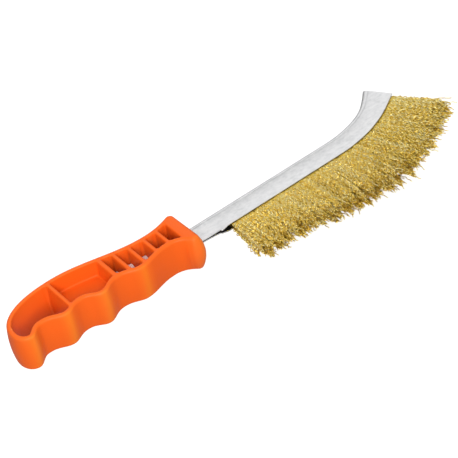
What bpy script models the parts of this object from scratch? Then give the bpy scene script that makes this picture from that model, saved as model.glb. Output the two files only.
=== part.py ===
"""Hand wire brush: plastic handle moulded round a folded steel channel that holds crimped wire."""

import math

import bmesh
import bpy
from mathutils import Vector
from mathutils.geometry import tessellate_polygon

MM = 0.001

# Overall layout. X runs from the butt to the toe, the bristles point to -Y, the thickness is Z.
THICKNESS = 22.0
MID = THICKNESS / 2
GAP = 0.3

# Handle outline at its two rims.
BUTT_X = -0.8
BUTT_Y = -6.0
BACK_CREST = (34.0, 14.0)
BACK_NECK = (88.0, 4.7)
FINGER_CRESTS = ((5.6, -14.2), (27.2, -13.3), (48.8, -14.4), (72.8, -13.9))
FINGER_VALLEYS = ((14.6, -9.4), (37.8, -10.0), (60.1, -10.3), (92.6, -10.4))
CREST_SHARPNESS = 1.3
BUTT_FULLNESS = 2.3
HEEL_FULLNESS = 2.0
FRONT_X = 106.8
GUARD_Y = -16.2
GUARD_RADIUS = 2.0
GUARD_TURN = 134.0
HORN_Y = 8.0
HORN_RADIUS = 2.4
HORN_TURN = 112.0

# Handle section: sides that swell towards the parting line, round rims, walls, ribs and web.
BULGE = 1.0
GUARD_BULGE = 2.0
GUARD_SWELL_X = (96.0, 104.0)
GUARD_SWELL_Y = (-8.0, -14.0)
RIM_RADIUS = 1.4
WALL = 2.4
RIM_FLARE = 0.5
FLARE_PROFILE = ((2.0, 0.0), (0.6, 0.3), (0.0, 1.0))
CUT_PAST_RIM = 1.0
POCKET_DRAFT = 0.25
POCKET_CORNER = 1.0
RIB_CHAMFER = 0.3
WEB = 3.6
BUTT_POCKET_END = 31.0
LONG_POCKET = (33.2, 59.0)
CELLS = ((61.6, 66.9), (69.1, 75.3), (77.5, 84.2), (86.4, 92.5), (94.6, 100.2))

# Folded steel channel, measured down from its spine.
SPINE_Y = 1.1
CHANNEL_THICKNESS = 4.6
SHEET = 0.6
CHANNEL_DEPTH = 13.9
TANG_DEPTH = 7.0
NECK_DEPTHS = (11.9, 13.0)
TANG_START = 60.0
SHOULDER_X = 103.6
NECK_X = 105.0
STEP_X = 122.6
STEP_RUN = 0.3
OPEN_X = 128.0
CLOSED_GAP = 0.15
TANG_PLAY = 0.45
NECK_GAP = 0.7
BEND_X = 203.0
BEND_RADIUS = 66.0
BEND_ANGLE = math.radians(32.0)
TOE_LENGTH = 11.5
TOE_FLARE = 3.4

# Wire fill: bundles folded over a retaining wire that lies in the fold of the channel.
CORE_DIAMETER = 1.0
CORE_DEPTH = CHANNEL_THICKNESS / 2
CORE_OVERHANG = 1.5
FILL_START = 130.0
FILL_END_MARGIN = 0.8
BUNDLE_COUNT = 37
BELLY = 0.62
TRIM_DEPTHS = (41.5, 50.5, 45.0)
FAN_HALVES = (4.8, 7.0, 5.6)
HEEL_LEAN = 2.5
TOE_LEAN = 3.5
LEAN_BUNDLES = 9
LEG_HALF = CHANNEL_THICKNESS / 2 - SHEET - GAP
LEG_END = 0.5
TIP_CROWN = 0.4
FAN_PROFILE = ((0.82, 1.0), (0.94, 0.75), (1.0, 0.35))

# Facets.
FINGER_POINTS = 66
PALM_POINTS = 26
BUTT_POINTS = 20
HEEL_POINTS = 8
CORNER_POINTS = 6
QUARTER_TURN = (0, 30, 60, 90)
RIM_LEVELS = (0.0, 0.12, 0.5, 1.0)
SIDE_LEVELS = (0.22, 0.36)
POCKET_SPANS = 6
FOLD_STEPS = 8
BEND_STEPS = 10
TOE_STEPS = 5
CORE_SIDES = 12
CORE_STRAIGHT_STEPS = 8
CORE_TOE_STEPS = 2
SMOOTH_ANGLE = 40.0

# Finishes: base colour, roughness, metallic.
ORANGE_PLASTIC = ((0.89, 0.13, 0.015), 0.42, 0.0)
GALVANISED_STEEL = ((0.72, 0.72, 0.73), 0.38, 1.0)
BRASS_COAT = ((0.62, 0.42, 0.11), 0.35, 1.0)


def clear_scene():
    for item in list(bpy.data.objects):
        bpy.data.objects.remove(item, do_unlink=True)


def material(name, colour, roughness, metallic):
    made = bpy.data.materials.new(name)
    made.use_nodes = True
    shader = made.node_tree.nodes["Principled BSDF"]
    shader.inputs["Base Color"].default_value = (*colour, 1.0)
    shader.inputs["Roughness"].default_value = roughness
    shader.inputs["Metallic"].default_value = metallic
    return made


def add_object(name, points, faces, finish=None):
    """A mesh object from points in millimetres, its faces turned outwards."""
    mesh = bpy.data.meshes.new(name)
    mesh.from_pydata([Vector(p) * MM for p in points], [], faces)
    shape = bmesh.new()
    shape.from_mesh(mesh)
    bmesh.ops.recalc_face_normals(shape, faces=shape.faces)
    shape.to_mesh(mesh)
    shape.free()
    mesh.shade_smooth()
    mesh.set_sharp_from_angle(angle=math.radians(SMOOTH_ANGLE))
    made = bpy.data.objects.new(name, mesh)
    bpy.context.collection.objects.link(made)
    if finish:
        mesh.materials.append(finish)
    return made


def loft(rings):
    """Points and faces of a closed solid through rings that hold equal numbers of points."""
    count = len(rings[0])
    points = [p for ring in rings for p in ring]
    faces = [tuple(range(count)), tuple(range(len(points) - count, len(points)))]
    for level in range(len(rings) - 1):
        base = level * count
        for i in range(count):
            j = (i + 1) % count
            faces.append((base + i, base + j, base + count + j, base + count + i))
    return points, faces


def ease(t):
    return (1 - math.cos(math.pi * t)) / 2


def steps(start, end, count):
    return [start + (end - start) * i / count for i in range(count + 1)]


def share(value, start, end):
    """How far a value is on the way from start to end, held between 0 and 1."""
    return max(0.0, min(1.0, (value - start) / (end - start)))


# ---------------------------------------------------------------- handle


def guard_end():
    """Where the finger side runs into the guard's round corner."""
    turn = math.radians(GUARD_TURN)
    return FRONT_X - GUARD_RADIUS * (1 - math.cos(turn)), GUARD_Y + GUARD_RADIUS * (1 - math.sin(turn))


def horn_end():
    """Where the palm side runs into the horn's round corner."""
    turn = math.radians(HORN_TURN)
    return FRONT_X - HORN_RADIUS * (1 - math.cos(turn)), HORN_Y - HORN_RADIUS * (1 - math.sin(turn))


def finger_y(x):
    """The finger side: narrow crests between broad hollows, then the sweep out to the guard."""
    last_hollow = FINGER_VALLEYS[-1]
    if x > last_hollow[0]:
        end_x, end_y = guard_end()
        t = (x - last_hollow[0]) / (end_x - last_hollow[0])
        return last_hollow[1] + (end_y - last_hollow[1]) * t * t
    ends = sorted(FINGER_CRESTS + FINGER_VALLEYS)
    for left, right in zip(ends, ends[1:]):
        if x <= right[0]:
            crest, valley = (left, right) if left in FINGER_CRESTS else (right, left)
            t = abs(x - crest[0]) / (right[0] - left[0])
            weight = (1 - ease(min(t, 1))) ** CREST_SHARPNESS
            return valley[1] + (crest[1] - valley[1]) * weight
    return last_hollow[1]


def back_y(x):
    """The palm side: the oval of the butt, the fall to the neck, then the rise to the horn."""
    if x < BACK_CREST[0]:
        across = (BACK_CREST[0] - x) / (BACK_CREST[0] - BUTT_X)
        return BUTT_Y + (BACK_CREST[1] - BUTT_Y) * (1 - across**BUTT_FULLNESS) ** (1 / BUTT_FULLNESS)
    if x <= BACK_NECK[0]:
        t = (x - BACK_CREST[0]) / (BACK_NECK[0] - BACK_CREST[0])
        return BACK_CREST[1] + (BACK_NECK[1] - BACK_CREST[1]) * ease(t)
    end_x, end_y = horn_end()
    t = (x - BACK_NECK[0]) / (end_x - BACK_NECK[0])
    return BACK_NECK[1] + (end_y - BACK_NECK[1]) * t * t


def arc(centre, radius, start, end, count):
    angles = [math.radians(a) for a in steps(start, end, count)]
    return [(centre[0] + radius * math.cos(a), centre[1] + radius * math.sin(a)) for a in angles]


def oval_corner(centre, reach, height, fullness, count):
    """A quarter of a superellipse that runs from its widest point to its highest."""
    found = []
    for angle in steps(0, math.pi / 2, count):
        across = math.cos(angle) ** (2 / fullness)
        along = math.sin(angle) ** (2 / fullness)
        found.append((centre[0] - reach * across, centre[1] + height * along))
    return found


def handle_outline():
    """The rim outline, anticlockwise from the first finger crest."""
    first = FINGER_CRESTS[0]
    outline = [(x, finger_y(x)) for x in steps(first[0], guard_end()[0], FINGER_POINTS)[:-1]]
    guard = (FRONT_X - GUARD_RADIUS, GUARD_Y + GUARD_RADIUS)
    outline += arc(guard, GUARD_RADIUS, -GUARD_TURN, 0, CORNER_POINTS)
    horn = (FRONT_X - HORN_RADIUS, HORN_Y - HORN_RADIUS)
    outline += arc(horn, HORN_RADIUS, 0, HORN_TURN, CORNER_POINTS)
    outline += [(x, back_y(x)) for x in steps(horn_end()[0], BACK_CREST[0], PALM_POINTS)[1:-1]]
    reach, height = BACK_CREST[0] - BUTT_X, BACK_CREST[1] - BUTT_Y
    butt = oval_corner((BACK_CREST[0], BUTT_Y), reach, height, BUTT_FULLNESS, BUTT_POINTS)
    outline += butt[::-1]
    reach, height = first[0] - BUTT_X, first[1] - BUTT_Y
    heel = oval_corner((first[0], BUTT_Y), reach, height, HEEL_FULLNESS, HEEL_POINTS)
    return outline + heel[1:-1]


def offset(outline, distance):
    """The outline moved outwards along its own normals by a distance, or by one for each point."""
    count = len(outline)
    moved = []
    for i, (x, y) in enumerate(outline):
        before, after = outline[i - 1], outline[(i + 1) % count]
        along = Vector((after[0] - before[0], after[1] - before[1])).normalized()
        step = distance[i] if isinstance(distance, list) else distance
        moved.append((x + along.y * step, y - along.x * step))
    return moved


def side_offset(height, x, y):
    """How far the side stands outside the rim outline at a height, swollen most at the guard."""
    rise = abs(height - MID) / MID
    near_guard = share(x, *GUARD_SWELL_X) * share(y, *GUARD_SWELL_Y)
    swell = (BULGE + GUARD_BULGE * ease(near_guard)) * (1 - rise * rise)
    depth = MID - abs(height - MID)
    if depth >= RIM_RADIUS:
        return swell
    return swell - RIM_RADIUS + math.sqrt(RIM_RADIUS**2 - (RIM_RADIUS - depth) ** 2)


def handle_body(finish):
    outline = handle_outline()
    low = [rim * RIM_RADIUS for rim in RIM_LEVELS] + [side * THICKNESS for side in SIDE_LEVELS]
    levels = low + [MID] + [THICKNESS - z for z in reversed(low)]
    rings = []
    for z in levels:
        ring = offset(outline, [side_offset(z, x, y) for x, y in outline])
        rings.append([(x, y, z) for x, y in ring])
    return add_object("handle", *loft(rings), finish)


def pocket_ring(start, end, grow, z):
    """A pocket's outline: parallel to the handle's sides, with round corners at its two ribs."""
    first, last = start - grow, end + grow
    quarter = [math.radians(a) for a in QUARTER_TURN]
    rise = [(POCKET_CORNER * (1 - math.cos(a)), POCKET_CORNER * (1 - math.sin(a))) for a in quarter]
    between = steps(first + POCKET_CORNER, last - POCKET_CORNER, POCKET_SPANS)[1:-1]
    pulls = [(first + x, pull) for x, pull in rise] + [(x, 0.0) for x in between]
    pulls += [(last - x, pull) for x, pull in reversed(rise)]
    near = [(x, finger_y(x) + WALL - grow + pull, z) for x, pull in pulls]
    far = [(x, back_y(x) - WALL + grow - pull, z) for x, pull in reversed(pulls)]
    return near + far


def butt_ring(end, grow, z):
    """The pocket in the butt: the handle's outline moved inwards and cut off by the first rib."""
    outline = handle_outline()
    inner = offset(outline, grow - WALL)
    inside = [i for i, p in enumerate(outline) if p[0] < end - POCKET_CORNER]
    near = [inner[i] for i in inside if i < FINGER_POINTS]
    far = [inner[i] for i in inside if i >= FINGER_POINTS]
    last = end + grow
    cut = [(last - RIB_CHAMFER, near[-1][1]), (last, near[-1][1] + RIB_CHAMFER)]
    cut += [(last, far[0][1] - RIB_CHAMFER), (last - RIB_CHAMFER, far[0][1])]
    return [(x, y, z) for x, y in near + cut + far]


def pocket_levels(through):
    """Heights of a pocket's rings, each with how far the ring grows beyond the pocket's walls."""
    upper = [(THICKNESS - RIM_FLARE * drop, RIM_FLARE * grow) for drop, grow in FLARE_PROFILE]
    upper.append((THICKNESS + CUT_PAST_RIM, RIM_FLARE))
    if through:
        return [(THICKNESS - z, grow) for z, grow in reversed(upper)] + [(MID, -POCKET_DRAFT)] + upper
    return [(MID + WEB / 2, -POCKET_DRAFT)] + upper


def add_cutter(name, rings):
    cutter = add_object(name, *loft(rings))
    cutter.hide_render = True
    cutter.display_type = "WIRE"
    return cutter


def cut(target, cutter):
    step = target.modifiers.new(cutter.name, "BOOLEAN")
    step.operation = "DIFFERENCE"
    step.object = cutter
    step.solver = "EXACT"


def build_handle(finish):
    handle = handle_body(finish)
    through = pocket_levels(True)
    cut(handle, add_cutter("cut_butt", [butt_ring(BUTT_POCKET_END, grow, z) for z, grow in through]))
    for number, (start, end) in enumerate(CELLS, 1):
        rings = [pocket_ring(start, end, grow, z) for z, grow in through]
        cut(handle, add_cutter(f"cut_cell_{number}", rings))
    upper = pocket_levels(False)
    lower = [(THICKNESS - z, grow) for z, grow in upper]
    for side, levels in (("upper", upper), ("lower", lower)):
        rings = [pocket_ring(*LONG_POCKET, grow, z) for z, grow in levels]
        cut(handle, add_cutter(f"cut_long_{side}", rings))
    cut(handle, tang_cutter())
    return handle


# ---------------------------------------------------------------- channel


def spine_frame(along):
    """A point of the spine, the heading there, and the flare, at a distance from the butt."""
    bend_end = BEND_X + BEND_RADIUS * BEND_ANGLE
    if along <= BEND_X:
        return Vector((along, SPINE_Y)), 0.0, 0.0
    if along <= bend_end:
        heading = (along - BEND_X) / BEND_RADIUS
        rise = BEND_RADIUS * (1 - math.cos(heading))
        return Vector((BEND_X + BEND_RADIUS * math.sin(heading), SPINE_Y + rise)), heading, 0.0
    point = spine_frame(bend_end)[0]
    extra = along - bend_end
    ahead = Vector((math.cos(BEND_ANGLE), math.sin(BEND_ANGLE)))
    return point + ahead * extra, BEND_ANGLE, TOE_FLARE * (extra / TOE_LENGTH) ** 2


def plan_point(along, depth):
    """The plan position at a depth below the spine."""
    point, heading, flare = spine_frame(along)
    depth -= flare * max(0.0, 1 - depth / CHANNEL_DEPTH)
    return point.x + depth * math.sin(heading), point.y - depth * math.cos(heading)


def channel_section(depth, lip_gap):
    """(depth, height) pairs of the folded strip: round the outside, then back along the inside."""
    outside = CHANNEL_THICKNESS / 2
    inside = outside - SHEET
    turn = [math.radians(a) for a in steps(90, 270, FOLD_STEPS)]
    section = [(depth, lip_gap + SHEET)]
    section += [(outside + outside * math.cos(a), outside * math.sin(a)) for a in turn]
    section += [(depth, -lip_gap - SHEET), (depth, -lip_gap)]
    section += [(outside + inside * math.cos(a), inside * math.sin(a)) for a in reversed(turn)]
    return section + [(depth, lip_gap)]


def neck_depth(along):
    """The depth of the closed neck, which widens a little towards the step."""
    return NECK_DEPTHS[0] + (NECK_DEPTHS[1] - NECK_DEPTHS[0]) * share(along, NECK_X, STEP_X)


def channel_stations():
    """(distance, depth, half gap at the lips) from the tang's end to the toe."""
    open_gap = CHANNEL_THICKNESS / 2 - SHEET
    stations = [
        (TANG_START, TANG_DEPTH, CLOSED_GAP),
        (SHOULDER_X, TANG_DEPTH, CLOSED_GAP),
        (NECK_X, neck_depth(NECK_X), CLOSED_GAP),
        (STEP_X, neck_depth(STEP_X), NECK_GAP),
        (STEP_X + STEP_RUN, CHANNEL_DEPTH, NECK_GAP),
        (OPEN_X, CHANNEL_DEPTH, open_gap),
    ]
    bend_end = BEND_X + BEND_RADIUS * BEND_ANGLE
    places = steps(BEND_X, bend_end, BEND_STEPS) + steps(bend_end, bend_end + TOE_LENGTH, TOE_STEPS)[1:]
    return stations + [(along, CHANNEL_DEPTH, open_gap) for along in places]


def build_channel(finish):
    rings = []
    for along, depth, lip_gap in channel_stations():
        section = channel_section(depth, lip_gap)
        rings.append([(*plan_point(along, u), MID + z) for u, z in section])
    return add_object("channel", *loft(rings), finish)


def tang_cutter():
    """The room that the moulding leaves round the tang, out through its front face."""
    past_front = (FRONT_X + STEP_X) / 2
    stations = [
        (TANG_START - GAP, TANG_DEPTH),
        (SHOULDER_X - GAP, TANG_DEPTH),
        (NECK_X - GAP, neck_depth(NECK_X)),
        (past_front, neck_depth(past_front)),
    ]
    rings = []
    radius = CHANNEL_THICKNESS / 2 + GAP
    lip = CLOSED_GAP + SHEET + TANG_PLAY
    turn = [math.radians(a) for a in steps(90, 270, FOLD_STEPS)]
    for along, depth in stations:
        section = [(depth + GAP, lip)]
        section += [(radius - GAP + radius * math.cos(a), radius * math.sin(a)) for a in turn]
        section.append((depth + GAP, -lip))
        rings.append([(along, SPINE_Y - u, MID + z) for u, z in section])
    return add_cutter("cut_tang", rings)


# ---------------------------------------------------------------- wire fill


def lip_frame(reach):
    """A point of the lip and the heading there, at a distance measured along the lip."""
    radius = BEND_RADIUS + CHANNEL_DEPTH
    heading = max(0.0, min(BEND_ANGLE, (reach - BEND_X) / radius))
    centre = Vector((BEND_X, SPINE_Y + BEND_RADIUS))
    point = centre + radius * Vector((math.sin(heading), -math.cos(heading)))
    extra = min(0.0, reach - BEND_X) + max(0.0, reach - BEND_X - radius * BEND_ANGLE)
    return point + extra * Vector((math.cos(heading), math.sin(heading))), heading


def swell(values, part_way):
    """A size along the fill, which eases between its values at the heel, the belly and the toe."""
    heel, belly, toe = values
    if part_way < BELLY:
        return heel + (belly - heel) * ease(part_way / BELLY)
    return belly + (toe - belly) * ease((part_way - BELLY) / (1 - BELLY))


def fill_line(number):
    """The plan line between two bundles: where it crosses the retaining wire, and its tip."""
    fill_end = BEND_X + (BEND_RADIUS + CHANNEL_DEPTH) * BEND_ANGLE + TOE_LENGTH - FILL_END_MARGIN
    reach = FILL_START + (fill_end - FILL_START) * number / BUNDLE_COUNT
    lip, heading = lip_frame(reach)
    down = Vector((math.sin(heading), -math.cos(heading)))
    ahead = Vector((math.cos(heading), math.sin(heading)))
    lean = HEEL_LEAN * share(number, LEAN_BUNDLES, 0) ** 2
    lean += TOE_LEAN * share(number, BUNDLE_COUNT - LEAN_BUNDLES, BUNDLE_COUNT) ** 2
    core = lip - down * (CHANNEL_DEPTH - CORE_DEPTH)
    trim = swell(TRIM_DEPTHS, number / BUNDLE_COUNT)
    return core, lip + down * (trim - CHANNEL_DEPTH) - ahead * lean


def bundle_loops(length, fan_half):
    """The bundle's side view round the retaining wire, outside and inside, as (reach, height)."""
    leg_end = CHANNEL_DEPTH - CORE_DEPTH + LEG_END
    quarter = [math.radians(180 - a) for a in QUARTER_TURN[1:]]
    upper = [(LEG_HALF * math.cos(a), LEG_HALF * math.sin(a)) for a in quarter]
    upper += [(leg_end, LEG_HALF)] + [(length * along, fan_half * half) for along, half in FAN_PROFILE]
    outer = [(-LEG_HALF, 0.0)] + upper + [(length + TIP_CROWN, 0.0)]
    outer += [(x, -z) for x, z in reversed(upper)]
    hole = CORE_DIAMETER / 2 + GAP
    turns = [2 * math.pi * i / CORE_SIDES for i in range(CORE_SIDES)]
    return outer, [(hole * math.cos(a), hole * math.sin(a)) for a in turns]


def build_bundle(number, finish):
    """One bundle: crimped wires folded over the retaining wire, as the solid that they fill."""
    part_way = (number + 0.5) / BUNDLE_COUNT
    length = swell(TRIM_DEPTHS, part_way) - CORE_DEPTH
    outer, inner = bundle_loops(length, swell(FAN_HALVES, part_way))
    heel_line, toe_line = fill_line(number), fill_line(number + 1)
    points = []
    for mine, other in ((heel_line, toe_line), (toe_line, heel_line)):
        core, tip = (a + (b - a).normalized() * GAP / 2 for a, b in zip(mine, other))
        for reach, height in outer + inner:
            x, y = core + (tip - core) * (reach / length)
            points.append((x, y, MID + height))
    loop = len(outer) + len(inner)
    flat = [[Vector((x, z, 0.0)) for x, z in ring] for ring in (outer, inner)]
    faces = []
    for a, b, c in tessellate_polygon(flat):
        faces += [(a, b, c), (loop + a, loop + b, loop + c)]
    for start, count in ((0, len(outer)), (len(outer), len(inner))):
        for i in range(count):
            near, after = start + i, start + (i + 1) % count
            faces.append((near, after, loop + after, loop + near))
    return add_object(f"bristle_bundle_{number + 1:02d}", points, faces, finish)


def build_core_wire(finish):
    """The retaining wire, bent to the line of the fold."""
    bend_end = BEND_X + BEND_RADIUS * BEND_ANGLE
    wire_end = bend_end + TOE_LENGTH - CORE_OVERHANG
    places = steps(FILL_START - CORE_OVERHANG, BEND_X, CORE_STRAIGHT_STEPS)
    places += steps(BEND_X, bend_end, BEND_STEPS)[1:] + steps(bend_end, wire_end, CORE_TOE_STEPS)[1:]
    turns = [2 * math.pi * i / CORE_SIDES for i in range(CORE_SIDES)]
    rings = []
    for along in places:
        point, heading, _ = spine_frame(along)
        ring = []
        for a in turns:
            depth = CORE_DEPTH + CORE_DIAMETER / 2 * math.cos(a)
            height = MID + CORE_DIAMETER / 2 * math.sin(a)
            ring.append((point.x + depth * math.sin(heading), point.y - depth * math.cos(heading), height))
        rings.append(ring)
    return add_object("core_wire", *loft(rings), finish)


def centre_on_origin():
    """Moves everything so that the origin lies under the middle of the whole brush."""
    shown = [item for item in bpy.data.objects if not item.hide_render]
    corners = [vertex.co for item in shown for vertex in item.data.vertices]
    middle = [(min(c[i] for c in corners) + max(c[i] for c in corners)) / 2 for i in (0, 1)]
    for item in bpy.data.objects:
        item.location = (-middle[0], -middle[1], 0.0)


def main():
    clear_scene()
    plastic = material("orange_plastic", *ORANGE_PLASTIC)
    steel = material("galvanised_steel", *GALVANISED_STEEL)
    brass = material("brass_coated_wire", *BRASS_COAT)
    build_handle(plastic)
    build_channel(steel)
    build_core_wire(steel)
    for number in range(BUNDLE_COUNT):
        build_bundle(number, brass)
    centre_on_origin()


main()
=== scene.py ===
import math

import bmesh
import bpy
import numpy as np
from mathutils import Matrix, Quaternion, Vector


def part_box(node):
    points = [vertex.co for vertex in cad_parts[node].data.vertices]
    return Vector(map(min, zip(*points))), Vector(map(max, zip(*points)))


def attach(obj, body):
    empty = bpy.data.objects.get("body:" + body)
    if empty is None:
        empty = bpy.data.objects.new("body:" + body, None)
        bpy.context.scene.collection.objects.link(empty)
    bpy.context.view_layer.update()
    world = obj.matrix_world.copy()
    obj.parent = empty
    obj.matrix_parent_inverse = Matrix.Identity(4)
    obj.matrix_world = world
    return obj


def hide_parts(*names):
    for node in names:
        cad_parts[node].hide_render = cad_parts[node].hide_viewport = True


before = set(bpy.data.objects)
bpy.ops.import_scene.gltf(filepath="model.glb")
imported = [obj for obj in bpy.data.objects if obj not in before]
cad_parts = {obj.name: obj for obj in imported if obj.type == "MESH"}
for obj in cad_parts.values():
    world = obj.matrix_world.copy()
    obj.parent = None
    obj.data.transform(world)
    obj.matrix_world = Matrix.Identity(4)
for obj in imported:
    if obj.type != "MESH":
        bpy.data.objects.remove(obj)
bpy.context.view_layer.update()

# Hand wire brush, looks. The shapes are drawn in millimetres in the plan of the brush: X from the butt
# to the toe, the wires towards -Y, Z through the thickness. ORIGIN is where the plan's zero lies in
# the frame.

MM = 0.001
BODY = "root"

# Driving dimensions, the same as the solids'.
MID = 11.0
THICKNESS = 2 * MID
BUTT_X = -0.8
BUTT_Y = -6.0
BACK_CREST = (34.0, 14.0)
BACK_NECK = (88.0, 4.7)
FINGER_CRESTS = ((5.6, -14.2), (27.2, -13.3), (48.8, -14.4), (72.8, -13.9))
FINGER_VALLEYS = ((14.6, -9.4), (37.8, -10.0), (60.1, -10.3), (92.6, -10.4))
CREST_SHARPNESS = 1.3
BUTT_FULLNESS = 2.3
FRONT_X = 106.8
GUARD_Y = -16.2
GUARD_RADIUS = 2.0
GUARD_TURN = 134.0
HORN_Y = 8.0
HORN_RADIUS = 2.4
HORN_TURN = 112.0
BULGE = 1.0
GUARD_BULGE = 2.0
GUARD_SWELL_X = (96.0, 104.0)
GUARD_SWELL_Y = (-8.0, -14.0)
RIM_RADIUS = 1.4
WALL = 2.4
WEB = 3.6
BUTT_POCKET_END = 31.0
LONG_POCKET = (33.2, 59.0)
CELLS = ((61.6, 66.9), (69.1, 75.3), (77.5, 84.2), (86.4, 92.5), (94.6, 100.2))
SPINE_Y = 1.1
CHANNEL_THICKNESS = 4.6
CHANNEL_DEPTH = 13.9
SHEET = 0.6
TANG_DEPTH = 7.0
NECK_DEPTHS = (11.9, 13.0)
TANG_START = 60.0
SHOULDER_X = 103.6
NECK_X = 105.0
STEP_X = 122.6
OPEN_X = 128.0
CLOSED_GAP = 0.15
NECK_GAP = 0.7
BEND_X = 203.0
BEND_RADIUS = 66.0
BEND_ANGLE = math.radians(32.0)
TOE_LENGTH = 11.5
TOE_FLARE = 3.4
CORE_DEPTH = CHANNEL_THICKNESS / 2
FILL_START = 130.0
FILL_END_MARGIN = 0.8
BUNDLE_COUNT = 37
BELLY = 0.62
TRIM_DEPTHS = (41.5, 50.5, 45.0)
FAN_HALVES = (4.8, 7.0, 5.6)
HEEL_LEAN = 2.5
TOE_LEAN = 3.5
LEAN_BUNDLES = 9

# Finer detail of the moulding. Its pockets have more draft and rounder rims and corners than the solids'.
HEEL_FULLNESS = 2.0
POCKET_DRAFT = 0.7
POCKET_CORNER = 1.4
POCKET_FILLET = 1.2
BUTT_TURN_START = 0.2
RIM_FLARE = 0.95
SLOT_ROOM = 0.3
CUT_PAST_RIM = 1.0
# Painted highlight on the finger crests and the front corner: its shift past each crest, its reach, and
# where it starts from the side, in mm.
CREST_HIGHLIGHT_SHIFT = 1.0
CREST_HIGHLIGHT_REACH = 6.0
CREST_HIGHLIGHT_FROM_SIDE = (1.0, 0.2)
FINGER_POINTS = 200
PALM_POINTS = 80
BUTT_POINTS = 60
HEEL_POINTS = 24
CORNER_POINTS = 14
RIM_STEPS = 8
SIDE_STEPS = 7
POCKET_SPANS = 24
POCKET_TURN_STEPS = 6
BUTT_TURN_STEPS = 5

# Finer detail of the channel. Its flare is longer, and the tang leans, unlike the solids'.
PRESS_LINE = 1.2
PRESS_DEPTH = 0.3
LIP_TURN = 1.3
LIP_STEPS = 5
TANG_RISE = 2.2
FLARE_RUN = 22.0
FLARE_POWER = 1.7
STEP_SLOPE = 0.25
STEP_CORNER = 0.15
STEP_RUN = 0.6
FOLD_STEPS = 28
SLOT_STEPS = 16
NECK_STEPS = 8
OPENING_STEPS = 8
STRAIGHT_STEPS = 24
BEND_STEPS = 40
TOE_STEPS = 14
INSIDE_POINTS = FOLD_STEPS + 5

# Largest angles, in degrees, that are shaded as smooth.
HANDLE_SMOOTH = 50
CHANNEL_SMOOTH = 35
FLOOR_SMOOTH = 50

# Wires: their size, their number in a bundle, the points of a leg, of which some lie inside the channel,
# how far they lie from the retaining wire in the fold, and how they are crimped.
WIRE_RADIUS = 0.27
TUBE_SIDES = 3
WIRES = 44
WIRE_SPREAD = (0.1, 0.9)
LEG_POINTS = 70
FOLD_POINTS = 5
INSIDE_SHARES = (0.0, 0.45, 0.85)
LAYER_SHARES = (0.03, 1.0)
ROOT_RADIUS = 0.72
ROOT_GROWTH = 0.74
CRIMP_PITCH = 3.3
PITCH_SPREAD = (0.93, 1.07)
CRIMP_HEIGHT = 0.68
HEIGHT_SPREAD = (0.8, 1.2)
CRIMP_START = 2.0
CRIMP_TWIST = 0.8
TIP_CALM = 0.7
TIP_CALM_POWER = 6
WANDER = 1.3
WANDER_LENGTH = 14
WANDER_FADE = 0.5

# How the wires gather in tufts, fan out and end. A wire's way out of the channel is counted from 0 at the
# lip to 1 at the trim line. GATHER_EARLY and GATHER_LATE are an amount and a power of that way.
PLACES_PER_BUNDLE = 8
TUFT_WIDTHS = (1.0, 2.3)
TUFT_LAYERS = 4
TUFT_EXTRA = 1.1
TUFT_POINT = 2.2
GATHER_EARLY = (0.2, 2)
GATHER_LATE = (0.4, 5)
FAN_SPREAD = 0.3
FAN_POWER = 0.9
DRIFT = 0.5
STRAY_SHARE = 0.09
STRAY_EXTRA = (1.0, 4.0)
STRAY_DRIFT = 2.0
LAYER_CUT = 0.12
LAYER_CUT_POWER = 2.5
LENGTH_SPREAD = 0.7
TOE_EXTRA = 1.5
TOE_RUN = 1.5
HEEL_EXTRA = 2.0
HEEL_RUN = 5
FARTHEST_OUT = 1.2
TUFT_SEED = 71
BUNDLE_SEED = 1000

# The tone of a wire, the painted highlight and shade that its crimp adds to it, and the painted shade just
# outside the channel.
TONE = 0.66
TONE_SPREAD = 0.18
CRIMP_PAINTED_LIGHT = 0.3
LIP_SHADE = 0.55
LIP_SHADE_RUN = 0.9

# Colours, each shade with its place on a ramp.
PLASTIC_SHADES = ((0.0, (0.76, 0.105, 0.008)), (0.5, (0.79, 0.122, 0.009)), (1.0, (0.82, 0.165, 0.010)))
# Paler colour for the edges, partly rubbed wear and partly a painted highlight along the rims.
PLASTIC_RUBBED_AND_HIGHLIT = (0.96, 0.27, 0.06)
# A painted shade for the recesses, not a colour of the plastic.
PLASTIC_RECESS_SHADE = (0.22, 0.018, 0.002)
STEEL_SHADES = ((0.1, (0.52, 0.525, 0.53)), (0.5, (0.62, 0.62, 0.625)), (0.9, (0.70, 0.70, 0.70)))
STEEL_RUBBED = (0.85, 0.85, 0.85)
# Near white painted on the tang inside the handle, a painted highlight.
STEEL_TANG_PAINTED_BRIGHT = (0.95, 0.95, 0.95)
# Painted shade for the inside of the fold.
STEEL_INSIDE_PAINTED_SHADE = (0.05, 0.05, 0.05)
DRAWN_SHADES = ((0.3, (0.38, 0.38, 0.39)), (0.7, (0.6, 0.6, 0.62)))
BRASS_SHADES = ((0.05, (0.30, 0.18, 0.014)), (0.45, (0.94, 0.68, 0.12)),
                (0.75, (0.99, 0.80, 0.23)), (1.0, (1.0, 0.92, 0.50)))
BRASS_GLINT = (0.95, 0.74, 0.32, 1.0)
FLOOR_SHADES = ((0.3, (0.40, 0.40, 0.40)), (0.7, (0.43, 0.43, 0.43)))
FLOOR_GLOW = 0.75
WHITE = (1.0, 1.0, 1.0, 1.0)

# Patterns, in metres: how near a recess's walls stand for the painted shade in recesses, and the height of
# the grain.
RECESS_REACH = 0.008
PLASTIC_GRAIN = 0.00004
STEEL_GRAIN = 0.00006

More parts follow.
